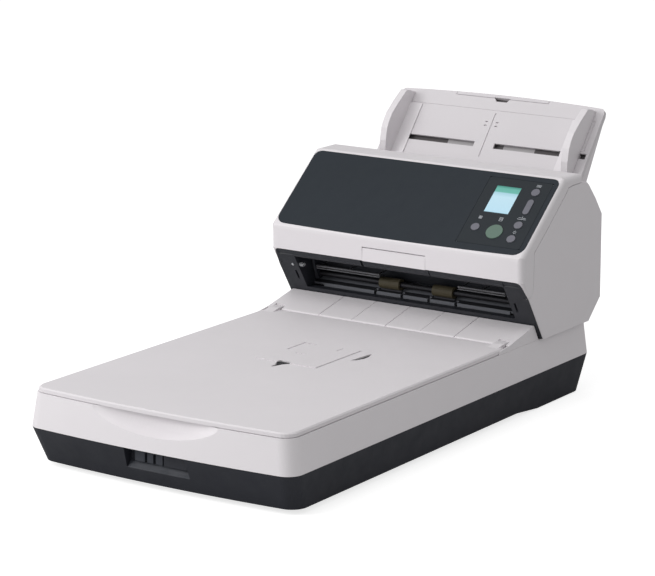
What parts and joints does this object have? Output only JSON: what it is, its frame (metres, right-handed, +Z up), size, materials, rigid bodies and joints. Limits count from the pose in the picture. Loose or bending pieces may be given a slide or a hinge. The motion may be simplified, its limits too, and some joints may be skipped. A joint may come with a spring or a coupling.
{
  "type": "sheet fed document scanner",
  "caption": "Desktop sheet feeder with a sloping control panel and rear paper chute, standing on a flatbed base with a hinged lid.",
  "frame": {"origin": "centre of the base footprint at table level, on the underside of the middle foot", "axes": "+X right, +Y towards the back and the paper chute, +Z up"},
  "size_m": [0.3, 0.6352, 0.2851],
  "materials": {
    "white_case": "fine texture",
    "dark_case": "fine texture",
    "slate_panel": "satin",
    "key_grey": "satin",
    "key_green": "satin",
    "display": "gloss",
    "steel": "ground",
    "rubber": "matt",
    "roller_rubber": "matt",
    "amber_rubber": "matt",
    "guide_grey": "satin",
    "glass": "polished",
    "pad_foam": "matt",
    "board_green": "satin",
    "motor_grey": "satin",
    "sensor_black": "matt",
    "pinion_grey": "satin"
  },
  "bodies": {
    "base": {"lower_case": "dark_case", "upper_case": "white_case", "platen_glass": "glass", "rubber_feet": "rubber", "case_screws": "steel", "stacker_ramp": "white_case", "carriage_rod": "steel", "carriage_motor": "motor_grey", "carriage_belt": "rubber", "main_board": "board_green", "power_inlet": "sensor_black", "data_port": "steel", "lid_hinge_pins": "steel", "adf_frame": "dark_case", "lower_guide": "guide_grey", "lower_window": "glass", "lower_sensor": "sensor_black", "side_cover_left": "white_case", "side_cover_right": "white_case", "rear_cover": "white_case", "adf_motor": "motor_grey", "cover_pivot_pins": "steel", "drive_belt": "rubber", "chute_board": "white_case", "chute_back": "white_case"},
    "carriage": {"scan_carriage": "sensor_black", "carriage_window": "glass"},
    "lock": {"transport_lock": "dark_case"},
    "lid": {"flatbed_lid": "white_case", "lid_pad": "pad_foam"},
    "stopper": {"stopper": "white_case"},
    "feed": {"feed_shaft": "steel", "feed_roller": "roller_rubber"},
    "pick": {"pick_shaft": "steel", "pick_roller": "roller_rubber"},
    "eject": {"eject_shaft": "steel", "eject_roller": "roller_rubber"},
    "cover": {"front_cover": "white_case", "panel_bezel": "slate_panel", "key_plate": "slate_panel", "lcd_module": "display", "key_board": "board_green", "inner_guide": "dark_case", "upper_window": "glass", "upper_sensor": "sensor_black"},
    "brake": {"brake_shaft": "steel", "brake_roller": "roller_rubber"},
    "idler": {"idler_shaft": "steel", "idler_roller": "amber_rubber"},
    "tab": {"release_tab": "white_case"},
    "menu_key": {"menu_button": "key_grey"},
    "stop_key": {"stop_button": "key_grey"},
    "scan_key": {"scan_button": "key_green"},
    "feed_mode_key": {"feed_mode_button": "key_grey"},
    "power_key": {"power_button": "key_grey"},
    "rocker_key": {"rocker": "key_grey"},
    "extension": {"chute_extension": "white_case"},
    "guide_l": {"guide_left": "white_case"},
    "guide_r": {"guide_right": "white_case"},
    "pinion": {"rack_pinion": "pinion_grey"}
  },
  "joints": [
    {"name": "lid_hinge", "type": "hinge", "parent": "base", "child": "lid", "pos_m": [0, 0.121, 0.077], "axis": [-1, 0, 0], "range_deg": [0, 80]},
    {"name": "stopper_hinge", "type": "hinge", "parent": "lid", "child": "stopper", "pos_m": [0, 0.0145, 0.07755], "axis": [1, 0, 0], "range_deg": [-55, 0]},
    {"name": "cover_hinge", "type": "hinge", "parent": "base", "child": "cover", "pos_m": [0, 0.143, 0.131], "axis": [-1, 0, 0], "range_deg": [-85, 0]},
    {"name": "tab_hinge", "type": "hinge", "parent": "cover", "child": "tab", "pos_m": [0, 0.1316, 0.1522], "axis": [-1, 0, 0], "range_deg": [0, 14]},
    {"name": "carriage_travel", "type": "slide", "parent": "base", "child": "carriage", "axis": [0, 1, 0], "range_m": [0, 0.27]},
    {"name": "lock_slide", "type": "slide", "parent": "base", "child": "lock", "axis": [1, 0, 0], "range_m": [-0.0065, 0]},
    {"name": "extension_slide", "type": "slide", "parent": "base", "child": "extension", "axis": [0, 0.6428, 0.766], "range_m": [0, 0.032]},
    {"name": "guide_left_slide", "type": "slide", "parent": "base", "child": "guide_l", "axis": [1, 0, 0], "range_m": [0, 0.08]},
    {"name": "guide_right_slide", "type": "slide", "parent": "base", "child": "guide_r", "axis": [1, 0, 0], "range_m": [-0.08, 0]},
    {"name": "pinion_turn", "type": "hinge", "parent": "base", "child": "pinion", "pos_m": [0, 0.3111, 0.23513], "axis": [0, -0.766, 0.6428], "range_deg": [-512, 0]},
    {"name": "feed_turn", "type": "hinge", "parent": "base", "child": "feed", "pos_m": [0, 0.24132, 0.14481], "axis": [1, 0, 0], "continuous": true},
    {"name": "pick_turn", "type": "hinge", "parent": "base", "child": "pick", "pos_m": [0, 0.25803, 0.16473], "axis": [1, 0, 0], "continuous": true},
    {"name": "eject_turn", "type": "hinge", "parent": "base", "child": "eject", "pos_m": [0, 0.18314, 0.09585], "axis": [1, 0, 0], "continuous": true},
    {"name": "brake_turn", "type": "hinge", "parent": "cover", "child": "brake", "pos_m": [0, 0.22822, 0.1558], "axis": [1, 0, 0], "continuous": true},
    {"name": "idler_turn", "type": "hinge", "parent": "cover", "child": "idler", "pos_m": [0, 0.17841, 0.10699], "axis": [1, 0, 0], "continuous": true},
    {"name": "menu_press", "type": "slide", "parent": "cover", "child": "menu_key", "axis": [0, 0.628, -0.7782], "range_m": [0, 0.0008], "stiffness_N_per_m": 400, "springref_m": -0.001},
    {"name": "stop_press", "type": "slide", "parent": "cover", "child": "stop_key", "axis": [0, 0.628, -0.7782], "range_m": [0, 0.0008], "stiffness_N_per_m": 400, "springref_m": -0.001},
    {"name": "scan_press", "type": "slide", "parent": "cover", "child": "scan_key", "axis": [0, 0.628, -0.7782], "range_m": [0, 0.0008], "stiffness_N_per_m": 400, "springref_m": -0.001},
    {"name": "feed_mode_press", "type": "slide", "parent": "cover", "child": "feed_mode_key", "axis": [0, 0.628, -0.7782], "range_m": [0, 0.0008], "stiffness_N_per_m": 400, "springref_m": -0.001},
    {"name": "power_press", "type": "slide", "parent": "cover", "child": "power_key", "axis": [0, 0.628, -0.7782], "range_m": [0, 0.0008], "stiffness_N_per_m": 400, "springref_m": -0.001},
    {"name": "rocker_tilt", "type": "hinge", "parent": "cover", "child": "rocker_key", "pos_m": [0, 0.18086, 0.20377], "axis": [1, 0, 0], "range_deg": [-3, 3], "stiffness_Nm_per_rad": 0.5}
  ],
  "couplings": [
    {"joint": "guide_right_slide", "follows": "guide_left_slide", "ratio": -1},
    {"joint": "pinion_turn", "follows": "guide_left_slide", "rad_per_m": -111.11},
    {"joint": "pick_turn", "follows": "feed_turn", "ratio": 1},
    {"joint": "eject_turn", "follows": "feed_turn", "ratio": 1.5},
    {"joint": "brake_turn", "follows": "feed_turn", "ratio": -1.125},
    {"joint": "idler_turn", "follows": "feed_turn", "ratio": -1.5}
  ]
}
